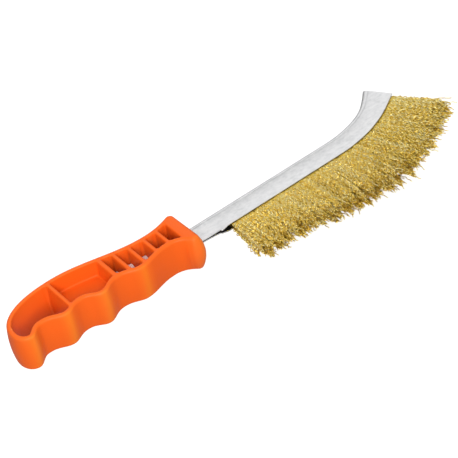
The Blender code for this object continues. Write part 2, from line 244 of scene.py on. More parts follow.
# Stage, in metres and watts. The world's stops run from straight down to straight up.
FLOOR_RADIUS = 2.5
WALL_RADIUS = 1.0
WALL_TOP = 4.0
FLOOR_GAP = 0.0002
FLOOR_TURNS = 64
WALL_STEPS = 12
WORLD_STOPS = ((0.36, 0.50), (0.46, 0.17), (0.54, 0.17), (0.64, 0.76))
LIGHT_AIM = (0.0, 0.0, 0.01)
KEY_PLACE = (-0.55, -0.95, 0.75)
KEY_SIZE = 0.6
KEY_POWER = 15.0
REAR_PLACE = (0.45, 0.75, 0.75)
REAR_SIZE = 1.3
REAR_POWER = 2.5

# Camera, 1 m from its aim: azimuth, elevation and roll in degrees, and the aim in the brush's plan.
CAMERA_ANGLES = (-29.8, 41.0, -11.74)
CAMERA_AIM = (125.02, -16.44, 14.1)
SENSOR_WIDTH = 36.0
LENS = 153.8

FULL_TURN = 2 * math.pi

# The channel's box starts at the tang's rear end, and below at the lips of its straight part.
CHANNEL_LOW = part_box("channel")[0]
ORIGIN = Vector((CHANNEL_LOW.x - TANG_START * MM, CHANNEL_LOW.y + (CHANNEL_DEPTH - SPINE_Y) * MM, 0.0))


# ---------------------------------------------------------------- small helpers


def ease(t):
    return (1 - math.cos(math.pi * t)) / 2


def steps(start, end, count):
    return [start + (end - start) * i / count for i in range(count + 1)]


def share(value, start, end):
    """How far a value is on the way from start to end, held between 0 and 1."""
    return max(0.0, min(1.0, (value - start) / (end - start)))


def swell(values, part_way):
    """A size along the fill, which eases between its values at the heel, the belly and the toe."""
    heel, belly, toe = values
    if part_way < BELLY:
        return heel + (belly - heel) * ease(part_way / BELLY)
    return belly + (toe - belly) * ease((part_way - BELLY) / (1 - BELLY))


def loft(rings):
    """Points and faces of a closed solid through rings that hold equal numbers of points."""
    count = len(rings[0])
    points = [p for ring in rings for p in ring]
    faces = [tuple(range(count)), tuple(range(len(points) - count, len(points)))]
    for level in range(len(rings) - 1):
        base = level * count
        for i in range(count):
            j = (i + 1) % count
            faces.append((base + i, base + j, base + count + j, base + count + i))
    return points, faces


def add_mesh(name, points, faces, finish=None, origin=ORIGIN, unit=MM):
    """A mesh object in the frame from points in the brush's plan, its faces turned outwards."""
    mesh = bpy.data.meshes.new(name)
    mesh.from_pydata([origin + Vector(p) * unit for p in points], [], faces)
    shape = bmesh.new()
    shape.from_mesh(mesh)
    bmesh.ops.recalc_face_normals(shape, faces=shape.faces)
    shape.to_mesh(mesh)
    shape.free()
    made = bpy.data.objects.new(name, mesh)
    bpy.context.scene.collection.objects.link(made)
    if finish:
        mesh.materials.append(finish)
    return made


def shade(piece, angle):
    piece.data.shade_smooth()
    piece.data.set_sharp_from_angle(angle=math.radians(angle))


# ---------------------------------------------------------------- materials


class Finish:
    """A Principled material whose inputs are fed by a few procedural patterns."""

    def __init__(self, name, **plain):
        self.material = bpy.data.materials.new(name)
        self.material.use_nodes = True
        self.tree = self.material.node_tree
        self.shader = self.tree.nodes["Principled BSDF"]
        for socket, value in plain.items():
            self.shader.inputs[socket.replace("_", " ")].default_value = value

    def node(self, kind, settings=None, **inputs):
        made = self.tree.nodes.new(kind)
        for name, value in (settings or {}).items():
            setattr(made, name, value)
        for name, value in inputs.items():
            socket = made.inputs[name.replace("_", " ")]
            if isinstance(value, bpy.types.NodeSocket):
                self.tree.links.new(value, socket)
            else:
                socket.default_value = value
        return made

    def attribute(self, name):
        """A value that the mesh holds for each of its points."""
        return self.node("ShaderNodeAttribute", {"attribute_name": name}).outputs["Fac"]

    def pointiness(self):
        """About a half on flat parts and more on outer edges."""
        return self.node("ShaderNodeNewGeometry").outputs["Pointiness"]

    def noise(self, scale, detail=2.0, stretch=(1, 1, 1), roughness=0.5):
        """Noise over the object's own coordinates. The scale is in repeats to the metre."""
        place = self.node("ShaderNodeTexCoord").outputs["Object"]
        mapped = self.node("ShaderNodeMapping", Vector=place, Scale=stretch)
        made = self.node("ShaderNodeTexNoise", Vector=mapped.outputs[0], Scale=scale, Detail=detail,
                         Roughness=roughness)
        return made.outputs["Fac"]

    def span(self, source, low, high, start=0.3, end=0.7):
        """The source, start to end, mapped to low to high."""
        inputs = {"From Min": start, "From Max": end, "To Min": low, "To Max": high}
        made = self.node("ShaderNodeMapRange", Value=source)
        for name, value in inputs.items():
            made.inputs[name].default_value = value
        return made.outputs[0]

    def ramp(self, source, *stops):
        made = self.node("ShaderNodeValToRGB", Fac=source)
        points = made.color_ramp.elements
        while len(points) < len(stops):
            points.new(1.0)
        for point, (place, colour) in zip(points, stops):
            point.position = place
            point.color = (*colour, 1.0)
        return made.outputs["Color"]

    def mix(self, amount, first, second):
        """A colour between the first, at an amount of 0, and the second, at 1."""
        made = self.node("ShaderNodeMix", {"data_type": "RGBA"})
        for index, value in ((0, amount), (6, first), (7, second)):
            if isinstance(value, bpy.types.NodeSocket):
                self.tree.links.new(value, made.inputs[index])
            else:
                made.inputs[index].default_value = value if index == 0 else (*value, 1.0)
        return made.outputs[2]

    def combine(self, first, second, operation="ADD"):
        made = self.node("ShaderNodeMath", {"operation": operation})
        for index, value in enumerate((first, second)):
            if isinstance(value, bpy.types.NodeSocket):
                self.tree.links.new(value, made.inputs[index])
            else:
                made.inputs[index].default_value = value
        return made.outputs[0]

    def feed(self, socket, source):
        self.tree.links.new(source, self.shader.inputs[socket])

    def bump(self, height, distance, strength=1.0):
        made = self.node("ShaderNodeBump", Strength=strength, Distance=distance, Height=height)
        self.feed("Normal", made.outputs["Normal"])


def plastic():
    """Satin moulded polypropylene: flow marks, a fine grain, paler edges that are partly rubbed and partly
    a painted highlight, painted highlights on the finger crests and the front corner, and painted shade in
    the recesses.
    """
    finish = Finish("moulded_plastic", Metallic=0.0, IOR=1.49, Specular_IOR_Level=0.12)
    flow = finish.noise(38, detail=3, stretch=(0.6, 1.4, 1.0))
    # Painted highlight: the crest attribute lifts the colour towards the lighter, yellower end of the ramp.
    crest_highlight = finish.combine(finish.attribute("crest"), finish.span(flow, -0.15, 0.15))
    body = finish.ramp(crest_highlight, *PLASTIC_SHADES)
    speckle = finish.span(finish.noise(2600), 0.9, 1.05)
    # Paler edges: partly rubbed wear, partly a painted highlight along the rims.
    paler_edges = finish.combine(finish.span(finish.pointiness(), 0.0, 0.55, 0.505, 0.56), speckle, "MULTIPLY")
    # Painted shade: the base colour is darkened where walls stand near, in the cells and the corners of the
    # pockets.
    nearby = finish.node("ShaderNodeAmbientOcclusion", {"only_local": True}, Distance=RECESS_REACH)
    recess_shade = finish.span(nearby.outputs["AO"], 0.6, 0.0, 0.05, 0.6)
    finish.feed("Base Color", finish.mix(recess_shade, finish.mix(paler_edges, body, PLASTIC_RUBBED_AND_HIGHLIT), PLASTIC_RECESS_SHADE))
    rough = finish.combine(finish.span(flow, 0.36, 0.46), finish.span(finish.noise(900, 3), 0.0, 0.08))
    finish.feed("Roughness", rough)
    grain = finish.combine(finish.noise(2400), finish.span(finish.noise(120), 0.0, 2.0))
    finish.bump(grain, PLASTIC_GRAIN, 0.5)
    return finish.material


def rolled_steel():
    """Zinc-coated strip: soft cloudy patches, fine lines along the roll, rubbed edges, painted shade on the
    inside of the fold, and a painted bright, matt tang within the handle.
    """
    finish = Finish("rolled_steel")
    cloud = finish.noise(420, detail=4, stretch=(0.7, 1.2, 1.0), roughness=0.6)
    lines = finish.noise(1500, detail=3, stretch=(0.05, 1.0, 1.0))
    tone = finish.combine(finish.span(cloud, 0.0, 0.8), finish.span(lines, 0.0, 0.2))
    paler_edges = finish.span(finish.pointiness(), 0.0, 0.5, 0.51, 0.6)
    rubbed = finish.mix(paler_edges, finish.ramp(tone, *STEEL_SHADES), STEEL_RUBBED)
    # Painted highlight: the tang inside the handle is painted near white and made matt, standing in for its
    # bright reflection in the cells.
    tang_painted_bright = finish.attribute("tang_painted_bright")
    outside = finish.mix(tang_painted_bright, rubbed, STEEL_TANG_PAINTED_BRIGHT)
    # Painted shade: the inside of the fold is painted nearly black.
    finish.feed("Base Color", finish.mix(finish.attribute("inside"), outside, STEEL_INSIDE_PAINTED_SHADE))
    finish.feed("Metallic", finish.span(tang_painted_bright, 0.92, 0.1, 0.0, 1.0))
    rough = finish.combine(finish.span(cloud, 0.34, 0.5), finish.span(lines, -0.04, 0.05))
    finish.feed("Roughness", rough)
    finish.bump(finish.combine(cloud, lines), STEEL_GRAIN, 0.35)
    return finish.material


def drawn_steel():
    """Plain drawn wire with faint die lines."""
    finish = Finish("drawn_steel", Metallic=1.0)
    lines = finish.noise(2500, stretch=(0.1, 1.0, 1.0))
    finish.feed("Base Color", finish.ramp(lines, *DRAWN_SHADES))
    finish.feed("Roughness", finish.span(lines, 0.3, 0.48))
    return finish.material


def brass_wire():
    """Thin brass coat on steel: each wire has its own tone, which changes in patches, with a painted
    highlight and shade along its crimp and a painted shade near the lip.
    """
    finish = Finish("brass_coated_wire", Metallic=1.0, Specular_Tint=BRASS_GLINT)
    patches = finish.span(finish.noise(700, detail=3), -0.22, 0.22)
    tone = finish.combine(finish.attribute("tone"), patches)
    finish.feed("Base Color", finish.ramp(tone, *BRASS_SHADES))
    finish.feed("Roughness", finish.span(finish.noise(1600), 0.3, 0.5))
    return finish.material


def floor_finish():
    """Pale matt floor that glows a little, so that the soft shadow on it stays faint."""
    finish = Finish("pale_floor", Roughness=0.9, Emission_Color=WHITE, Emission_Strength=FLOOR_GLOW)
    finish.feed("Base Color", finish.ramp(finish.noise(3), *FLOOR_SHADES))
    return finish.material


# ---------------------------------------------------------------- handle


def guard_end():
    """Where the finger side runs into the guard's round corner."""
    turn = math.radians(GUARD_TURN)
    return FRONT_X - GUARD_RADIUS * (1 - math.cos(turn)), GUARD_Y + GUARD_RADIUS * (1 - math.sin(turn))


def horn_end():
    """Where the palm side runs into the horn's round corner."""
    turn = math.radians(HORN_TURN)
    return FRONT_X - HORN_RADIUS * (1 - math.cos(turn)), HORN_Y - HORN_RADIUS * (1 - math.sin(turn))


def finger_y(x):
    """The finger side: narrow crests between broad hollows, then the sweep out to the guard."""
    last_hollow = FINGER_VALLEYS[-1]
    if x > last_hollow[0]:
        end_x, end_y = guard_end()
        t = (x - last_hollow[0]) / (end_x - last_hollow[0])
        return last_hollow[1] + (end_y - last_hollow[1]) * t * t
    ends = sorted(FINGER_CRESTS + FINGER_VALLEYS)
    for left, right in zip(ends, ends[1:]):
        if x <= right[0]:
            crest, valley = (left, right) if left in FINGER_CRESTS else (right, left)
            t = abs(x - crest[0]) / (right[0] - left[0])
            weight = (1 - ease(min(t, 1))) ** CREST_SHARPNESS
            return valley[1] + (crest[1] - valley[1]) * weight
    return last_hollow[1]


def back_y(x):
    """The palm side: the oval of the butt, the fall to the neck, then the rise to the horn."""
    if x < BACK_CREST[0]:
        across = (BACK_CREST[0] - x) / (BACK_CREST[0] - BUTT_X)
        return BUTT_Y + (BACK_CREST[1] - BUTT_Y) * (1 - across**BUTT_FULLNESS) ** (1 / BUTT_FULLNESS)
    if x <= BACK_NECK[0]:
        t = (x - BACK_CREST[0]) / (BACK_NECK[0] - BACK_CREST[0])
        return BACK_CREST[1] + (BACK_NECK[1] - BACK_CREST[1]) * ease(t)
    end_x, end_y = horn_end()
    t = (x - BACK_NECK[0]) / (end_x - BACK_NECK[0])
    return BACK_NECK[1] + (end_y - BACK_NECK[1]) * t * t


def arc(centre, radius, start, end, count):
    angles = [math.radians(a) for a in steps(start, end, count)]
    return [(centre[0] + radius * math.cos(a), centre[1] + radius * math.sin(a)) for a in angles]


def oval_corner(centre, reach, height, fullness, count):
    """A quarter of a superellipse that runs from its widest point to its highest."""
    found = []
    for angle in steps(0, math.pi / 2, count):
        across = math.cos(angle) ** (2 / fullness)
        along = math.sin(angle) ** (2 / fullness)
        found.append((centre[0] - reach * across, centre[1] + height * along))
    return found


def handle_outline():
    """The rim outline, anticlockwise from the first finger crest."""
    first = FINGER_CRESTS[0]
    outline = [(x, finger_y(x)) for x in steps(first[0], guard_end()[0], FINGER_POINTS)[:-1]]
    guard = (FRONT_X - GUARD_RADIUS, GUARD_Y + GUARD_RADIUS)
    outline += arc(guard, GUARD_RADIUS, -GUARD_TURN, 0, CORNER_POINTS)
    horn = (FRONT_X - HORN_RADIUS, HORN_Y - HORN_RADIUS)
    outline += arc(horn, HORN_RADIUS, 0, HORN_TURN, CORNER_POINTS)
    outline += [(x, back_y(x)) for x in steps(horn_end()[0], BACK_CREST[0], PALM_POINTS)[1:-1]]
    reach, height = BACK_CREST[0] - BUTT_X, BACK_CREST[1] - BUTT_Y
    butt = oval_corner((BACK_CREST[0], BUTT_Y), reach, height, BUTT_FULLNESS, BUTT_POINTS)
    outline += butt[::-1]
    reach, height = first[0] - BUTT_X, first[1] - BUTT_Y
    heel = oval_corner((first[0], BUTT_Y), reach, height, HEEL_FULLNESS, HEEL_POINTS)
    return outline + heel[1:-1]


def offset(outline, distance):
    """The outline moved outwards along its own normals by a distance, or by one for each point."""
    count = len(outline)
    moved = []
    for i, (x, y) in enumerate(outline):
        before, after = outline[i - 1], outline[(i + 1) % count]
        along = Vector((after[0] - before[0], after[1] - before[1])).normalized()
        step = distance[i] if isinstance(distance, list) else distance
        moved.append((x + along.y * step, y - along.x * step))
    return moved


def side_offset(height, x, y):
    """How far the side stands outside the rim outline at a height, swollen most at the guard."""
    rise = abs(height - MID) / MID
    near_guard = share(x, *GUARD_SWELL_X) * share(y, *GUARD_SWELL_Y)
    swollen = (BULGE + GUARD_BULGE * ease(near_guard)) * (1 - rise * rise)
    depth = MID - abs(height - MID)
    if depth >= RIM_RADIUS:
        return swollen
    return swollen - RIM_RADIUS + math.sqrt(RIM_RADIUS**2 - (RIM_RADIUS - depth) ** 2)


def handle_body():
    outline = handle_outline()
    rim = [RIM_RADIUS * (1 - math.cos(a)) for a in steps(0, math.pi / 2, RIM_STEPS)]
    low = rim + steps(RIM_RADIUS, MID, SIDE_STEPS)[1:-1]
    levels = low + [MID] + [THICKNESS - z for z in reversed(low)]
    rings = []
    for z in levels:
        ring = offset(outline, [side_offset(z, x, y) for x, y in outline])
        rings.append([(x, y, z) for x, y in ring])
    return add_mesh("handle_moulding", *loft(rings), plastic())


def pocket_ring(start, end, grow, z):
    """A pocket's outline: parallel to the handle's sides, with round corners at its two ribs."""
    first, last = start - grow, end + grow
    quarter = [math.radians(a) for a in steps(0, 90, POCKET_TURN_STEPS)]
    rise = [(POCKET_CORNER * (1 - math.cos(a)), POCKET_CORNER * (1 - math.sin(a))) for a in quarter]
    between = steps(first + POCKET_CORNER, last - POCKET_CORNER, POCKET_SPANS)[1:-1]
    pulls = [(first + x, pull) for x, pull in rise] + [(x, 0.0) for x in between]
    pulls += [(last - x, pull) for x, pull in reversed(rise)]
    near = [(x, finger_y(x) + WALL - grow + pull, z) for x, pull in pulls]
    far = [(x, back_y(x) - WALL + grow - pull, z) for x, pull in reversed(pulls)]
    return near + far


def butt_ring(end, grow, z):
    """The pocket in the butt: the handle's outline moved inwards and cut off by the first rib."""
    outline = handle_outline()
    inner = offset(outline, grow - WALL)
    inside = [i for i, p in enumerate(outline) if p[0] < end - POCKET_CORNER]
    near = [inner[i] for i in inside if i < FINGER_POINTS]
    far = [inner[i] for i in inside if i >= FINGER_POINTS]
    corners = []
    for (x, y), way in ((near[-1], 1), (far[0], -1)):
        reach = end + grow - x
        turn = steps(BUTT_TURN_START, math.pi / 2, BUTT_TURN_STEPS)
        corners.append([(x + reach * math.sin(a), y + way * reach * (1 - math.cos(a))) for a in turn])
    return [(x, y, z) for x, y in near + corners[0] + corners[1][::-1] + far]


def pocket_levels(through):
    """Heights of a pocket's rings, each with how far the ring grows beyond the pocket's walls."""
    turn = steps(0, math.pi / 2, POCKET_TURN_STEPS)
    upper = [(THICKNESS - RIM_FLARE * (1 - math.sin(a)), RIM_FLARE * (1 - math.cos(a))) for a in turn]
    upper.append((THICKNESS + CUT_PAST_RIM, RIM_FLARE))
    if through:
        lower = [(THICKNESS - z, grow) for z, grow in reversed(upper)]
        return lower + [(MID, -POCKET_DRAFT)] + upper
    floor = MID + WEB / 2
    fillet = [(floor + POCKET_FILLET * (1 - math.cos(a)), POCKET_FILLET * (math.sin(a) - 1)) for a in turn]
    return [(z, grow - POCKET_DRAFT) for z, grow in fillet] + upper


def neck_depth(along):
    """The depth of the closed neck, which widens a little towards the step."""
    return NECK_DEPTHS[0] + (NECK_DEPTHS[1] - NECK_DEPTHS[0]) * share(along, NECK_X, STEP_X)


def tang_rise(along):
    """How far the narrow tang leans up from the line of the channel's spine towards the butt."""
    return TANG_RISE * share(along, SHOULDER_X, TANG_START)


def tang_slot():
    """The room that the moulding leaves round the tang, out through its front face."""
    past_front = (FRONT_X + STEP_X) / 2
    stations = [
        (TANG_START - SLOT_ROOM, TANG_DEPTH),
        (SHOULDER_X - SLOT_ROOM, TANG_DEPTH),
        (NECK_X - SLOT_ROOM, neck_depth(NECK_X)),
        (past_front, neck_depth(past_front)),
    ]
    rings = []
    radius = CHANNEL_THICKNESS / 2 + SLOT_ROOM / 2
    lip = CLOSED_GAP + SHEET + SLOT_ROOM
    turn = [math.radians(a) for a in steps(90, 270, SLOT_STEPS)]
    for along, depth in stations:
        section = [(depth + SLOT_ROOM, lip)]
        section += [(CHANNEL_THICKNESS / 2 + radius * math.cos(a), radius * math.sin(a)) for a in turn]
        section.append((depth + SLOT_ROOM, -lip))
        rings.append([(along, SPINE_Y + tang_rise(along) - u, MID + z) for u, z in section])
    return add_mesh("tang_slot", *loft(rings))


def cut(target, cutters):
    """Takes the cutters out of the target's mesh and removes them."""
    for cutter in cutters:
        step = target.modifiers.new(cutter.name, "BOOLEAN")
        step.operation = "DIFFERENCE"
        step.object = cutter
        step.solver = "EXACT"
    evaluated = target.evaluated_get(bpy.context.evaluated_depsgraph_get())
    mesh = bpy.data.meshes.new_from_object(evaluated)
    target.modifiers.clear()
    target.data = mesh
    for cutter in cutters:
        bpy.data.objects.remove(cutter)


def mark_crests(handle):
    """An attribute that is high on the finger crests and the front corner, where the moulding gets a
    painted highlight.
    """
    crest = handle.data.attributes.new("crest", "FLOAT", "POINT")
    highlit_places = [x + CREST_HIGHLIGHT_SHIFT for x, _ in FINGER_CRESTS] + [FRONT_X + CREST_HIGHLIGHT_SHIFT]
    for vertex in handle.data.vertices:
        x, y = [(vertex.co[i] - ORIGIN[i]) / MM for i in (0, 1)]
        side = finger_y(min(x, guard_end()[0]))
        near_side = share(y, *[side + away for away in CREST_HIGHLIGHT_FROM_SIDE])
        closest = min(abs(x - place) for place in highlit_places)
        crest.data[vertex.index].value = near_side * share(closest, CREST_HIGHLIGHT_REACH, 0.0)


def build_handle():
    handle = handle_body()
    through, upper = pocket_levels(True), pocket_levels(False)
    lower = [(THICKNESS - z, grow) for z, grow in upper]
    cutters = [add_mesh("butt_pocket", *loft([butt_ring(BUTT_POCKET_END, grow, z) for z, grow in through]))]
    pockets = [("cell", cell, through) for cell in CELLS]
    pockets += [("long_pocket", LONG_POCKET, upper), ("long_pocket", LONG_POCKET, lower)]
    for name, (start, end), levels in pockets:
        cutters.append(add_mesh(name, *loft([pocket_ring(start, end, grow, z) for z, grow in levels])))
    cut(handle, cutters + [tang_slot()])
    mark_crests(handle)
    shade(handle, HANDLE_SMOOTH)
    even = handle.modifiers.new("even_normals", "WEIGHTED_NORMAL")
    even.keep_sharp = True
    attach(handle, BODY)
    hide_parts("handle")


# ---------------------------------------------------------------- channel


def spine_frame(along):
    """A point of the spine and the heading there, at a distance from the butt."""
    bend_end = BEND_X + BEND_RADIUS * BEND_ANGLE
    if along <= BEND_X:
        return Vector((along, SPINE_Y)), 0.0
    if along <= bend_end:
        heading = (along - BEND_X) / BEND_RADIUS
        rise = BEND_RADIUS * (1 - math.cos(heading))
        return Vector((BEND_X + BEND_RADIUS * math.sin(heading), SPINE_Y + rise)), heading
    point = spine_frame(bend_end)[0]
    extra = along - bend_end
    ahead = Vector((math.cos(BEND_ANGLE), math.sin(BEND_ANGLE)))
    return point + ahead * extra, BEND_ANGLE


def toe_flare(along):
    """How far the spine stands above its own line near the toe."""
    toe = BEND_X + BEND_RADIUS * BEND_ANGLE + TOE_LENGTH
    return TOE_FLARE * share(along, toe - FLARE_RUN, toe) ** FLARE_POWER


def plan_point(along, depth):
    """The plan position at a depth below the spine."""
    point, heading = spine_frame(along)
    depth -= toe_flare(along) * max(0.0, 1 - depth / CHANNEL_DEPTH)
    return point.x + depth * math.sin(heading), point.y - depth * math.cos(heading)


def channel_section(depth, lip_gap):
    """(depth, height) pairs of the folded strip: round the outside, then back along the inside."""
    outside = CHANNEL_THICKNESS / 2
    inside = outside - SHEET
    turn = [math.radians(a) for a in steps(90, 270, FOLD_STEPS)]
    middle = lip_gap + SHEET / 2
    lip_turn = steps(-LIP_TURN, LIP_TURN, LIP_STEPS)
    round_lip = [(depth - SHEET / 2 * (1 - math.cos(a)), SHEET / 2 * math.sin(a)) for a in lip_turn]
    outer, inner = lip_gap + SHEET, lip_gap
    near_lip, near_fold = depth - SHEET, outside + PRESS_LINE
    line, hollow = outside + PRESS_LINE / 2, outside - PRESS_DEPTH
    section = [(u, middle + z) for u, z in round_lip]
    section += [(near_lip, outer), (near_fold, outside), (line, hollow)]
    section += [(outside + outside * math.cos(a), outside * math.sin(a)) for a in turn]
    section += [(line, -hollow), (near_fold, -outside), (near_lip, -outer)]
    section += [(u, z - middle) for u, z in round_lip] + [(near_lip, -inner), (near_fold, -inside)]
    section += [(outside + inside * math.cos(a), inside * math.sin(a)) for a in reversed(turn)]
    return section + [(near_fold, inside), (near_lip, inner)]


def channel_stations():
    """(distance, depth, half gap at the lips) from the tang's end to the toe."""
    open_gap = CHANNEL_THICKNESS / 2 - SHEET
    stations = [
        (TANG_START, TANG_DEPTH, CLOSED_GAP),
        (SHOULDER_X, TANG_DEPTH, CLOSED_GAP),
        (NECK_X, neck_depth(NECK_X), CLOSED_GAP),
    ]
    for along in steps(FRONT_X, STEP_X, NECK_STEPS):
        closing = share(along, FRONT_X, STEP_X) ** 2
        stations.append((along, neck_depth(along), CLOSED_GAP + (NECK_GAP - CLOSED_GAP) * closing))
    stations.append((STEP_X + STEP_SLOPE, CHANNEL_DEPTH - STEP_CORNER, NECK_GAP))
    for along in steps(STEP_X + STEP_RUN, OPEN_X, OPENING_STEPS):
        opening = ease(share(along, STEP_X, OPEN_X))
        stations.append((along, CHANNEL_DEPTH, NECK_GAP + (open_gap - NECK_GAP) * opening))
    bend_end = BEND_X + BEND_RADIUS * BEND_ANGLE
    places = steps(OPEN_X, BEND_X, STRAIGHT_STEPS)[1:] + steps(BEND_X, bend_end, BEND_STEPS)[1:]
    places += steps(bend_end, bend_end + TOE_LENGTH, TOE_STEPS)[1:]
    return stations + [(along, CHANNEL_DEPTH, open_gap) for along in places]


def mark_channel(channel, count):
    """Attributes for the painted shade inside the fold and the painted highlight on the tang, with a number
    of points to each ring.
    """
    inside = channel.data.attributes.new("inside", "FLOAT", "POINT")
    tang_painted_bright = channel.data.attributes.new("tang_painted_bright", "FLOAT", "POINT")
    for level, (along, _, _) in enumerate(channel_stations()):
        for place in range(count):
            inside.data[level * count + place].value = float(place >= count - INSIDE_POINTS)
            tang_painted_bright.data[level * count + place].value = float(along < FRONT_X)


def build_channel():
    rings = []
    for along, depth, lip_gap in channel_stations():
        section = channel_section(depth, lip_gap)
        rings.append([(*plan_point(along, u - tang_rise(along)), MID + z) for u, z in section])
    channel = add_mesh("folded_channel", *loft(rings), rolled_steel())
    mark_channel(channel, len(rings[0]))
    shade(channel, CHANNEL_SMOOTH)
    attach(channel, BODY)
    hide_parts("channel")


# ---------------------------------------------------------------- wires


def lip_frame(reach):
    """A point of the lip and the heading there, at a distance measured along the lip."""
    radius = BEND_RADIUS + CHANNEL_DEPTH
    heading = max(0.0, min(BEND_ANGLE, (reach - BEND_X) / radius))
    centre = Vector((BEND_X, SPINE_Y + BEND_RADIUS))
    point = centre + radius * Vector((math.sin(heading), -math.cos(heading)))
    extra = min(0.0, reach - BEND_X) + max(0.0, reach - BEND_X - radius * BEND_ANGLE)
    return point + extra * Vector((math.cos(heading), math.sin(heading))), heading


def fill_line(number):
    """The plan line of the wires at a place counted in bundles: at the retaining wire, and the tip."""
    fill_end = BEND_X + (BEND_RADIUS + CHANNEL_DEPTH) * BEND_ANGLE + TOE_LENGTH - FILL_END_MARGIN
    reach = FILL_START + (fill_end - FILL_START) * number / BUNDLE_COUNT
    lip, heading = lip_frame(reach)
    down = Vector((math.sin(heading), -math.cos(heading)))
    ahead = Vector((math.cos(heading), math.sin(heading)))
    lean = HEEL_LEAN * share(number, LEAN_BUNDLES, 0) ** 2
    lean += TOE_LEAN * share(number, BUNDLE_COUNT - LEAN_BUNDLES, BUNDLE_COUNT) ** 2
    core = lip - down * (CHANNEL_DEPTH - CORE_DEPTH)
    trim = swell(TRIM_DEPTHS, number / BUNDLE_COUNT)
    return core, lip + down * (trim - CHANNEL_DEPTH) - ahead * lean


class Fill:
    """The fill's lines, fans and tufts, looked up at any place along it."""

    def __init__(self):
        self.places = np.linspace(0, BUNDLE_COUNT, BUNDLE_COUNT * PLACES_PER_BUNDLE + 1)
        lines = [fill_line(float(p)) for p in self.places]
        self.core = np.array([core for core, tip in lines])
        self.tip = np.array([tip for core, tip in lines])
        self.fan = np.array([swell(FAN_HALVES, p / BUNDLE_COUNT) for p in self.places])
        chance = np.random.default_rng(TUFT_SEED)
        self.tufts = []
        for _ in range(TUFT_LAYERS):
            centres = [-chance.uniform(0, TUFT_WIDTHS[1])]
            while centres[-1] < BUNDLE_COUNT:
                centres.append(centres[-1] + chance.uniform(*TUFT_WIDTHS))
            self.tufts.append((np.array(centres), chance.normal(0, TUFT_EXTRA, len(centres))))

    def at(self, table, where):
        """The table's values at places counted in bundles."""
        if table.ndim == 1:
            return np.interp(where, self.places, table)
        return np.stack([np.interp(where, self.places, table[:, i]) for i in (0, 1)], axis=-1)

    def tuft(self, where, height_share):
        """The centre of each wire's tuft and how much longer that tuft is. The share is -1 to 1."""
        layer = np.clip(((height_share + 1) / 2 * TUFT_LAYERS).astype(int), 0, TUFT_LAYERS - 1)
        centre, longer = np.empty(len(where)), np.empty(len(where))
        for number, (centres, extras) in enumerate(self.tufts):
            mine = layer == number
            nearest = np.abs(where[mine, None] - centres[None, :]).argmin(axis=1)
            centre[mine], longer[mine] = centres[nearest], extras[nearest]
        return centre, longer


def leg_lengths(where, full, layer_share, away, longer, chance):
    """The length of each leg from the retaining wire to its ragged tip, and which legs stray."""
    count = len(where)
    stray = chance.random(count) < STRAY_SHARE
    length = full * (1 - LAYER_CUT * layer_share**LAYER_CUT_POWER) + longer
    length += TUFT_POINT * (1 - 2 * np.abs(away))
    length += chance.normal(0, LENGTH_SPREAD, count) + stray * chance.uniform(*STRAY_EXTRA, count)
    length += TOE_EXTRA * np.clip((where - BUNDLE_COUNT + TOE_RUN) / TOE_RUN, 0, 1)
    length += HEEL_EXTRA * np.clip(1 - where / HEEL_RUN, 0, 1)
    return length, stray


def crimp(reach, out, lip, side, chance):
    """Offsets of the crimp and of a slow wander, along the fill and upwards, and the tone's change: painted
    highlight and shade with the crimp, and painted shade near the lip.
    """
    count = len(reach)
    ramp = np.clip((reach - lip) / CRIMP_START, 0, 1)
    pitch = CRIMP_PITCH * chance.uniform(*PITCH_SPREAD, count)[:, None]
    wave = np.sin(FULL_TURN * (reach / pitch + chance.random(count)[:, None]))
    plane = chance.uniform(0, FULL_TURN, count)[:, None]
    plane = plane + out * chance.normal(0, CRIMP_TWIST, count)[:, None]
    calm = 1 - TIP_CALM * np.clip(out, 0, 1) ** TIP_CALM_POWER
    size = CRIMP_HEIGHT * chance.uniform(*HEIGHT_SPREAD, count)[:, None] * wave * ramp * calm
    wander = []
    for _ in range(2):
        widest = chance.uniform(0, WANDER, count)[:, None]
        turn = FULL_TURN * (reach / WANDER_LENGTH + chance.random(count)[:, None])
        wander.append(widest * np.sqrt(out) * (1 - WANDER_FADE * out) * np.sin(turn))
    shaded = LIP_SHADE * np.exp(-np.clip(reach - lip, 0, None) / LIP_SHADE_RUN)
    # Painted light: the crimp's outward peaks are painted lighter and its troughs darker, and the wire is
    # painted darker just past the lip.
    tone = CRIMP_PAINTED_LIGHT * wave * np.sin(plane) * side * ramp - shaded
    return size * np.cos(plane) + wander[0], size * np.sin(plane) + wander[1], tone


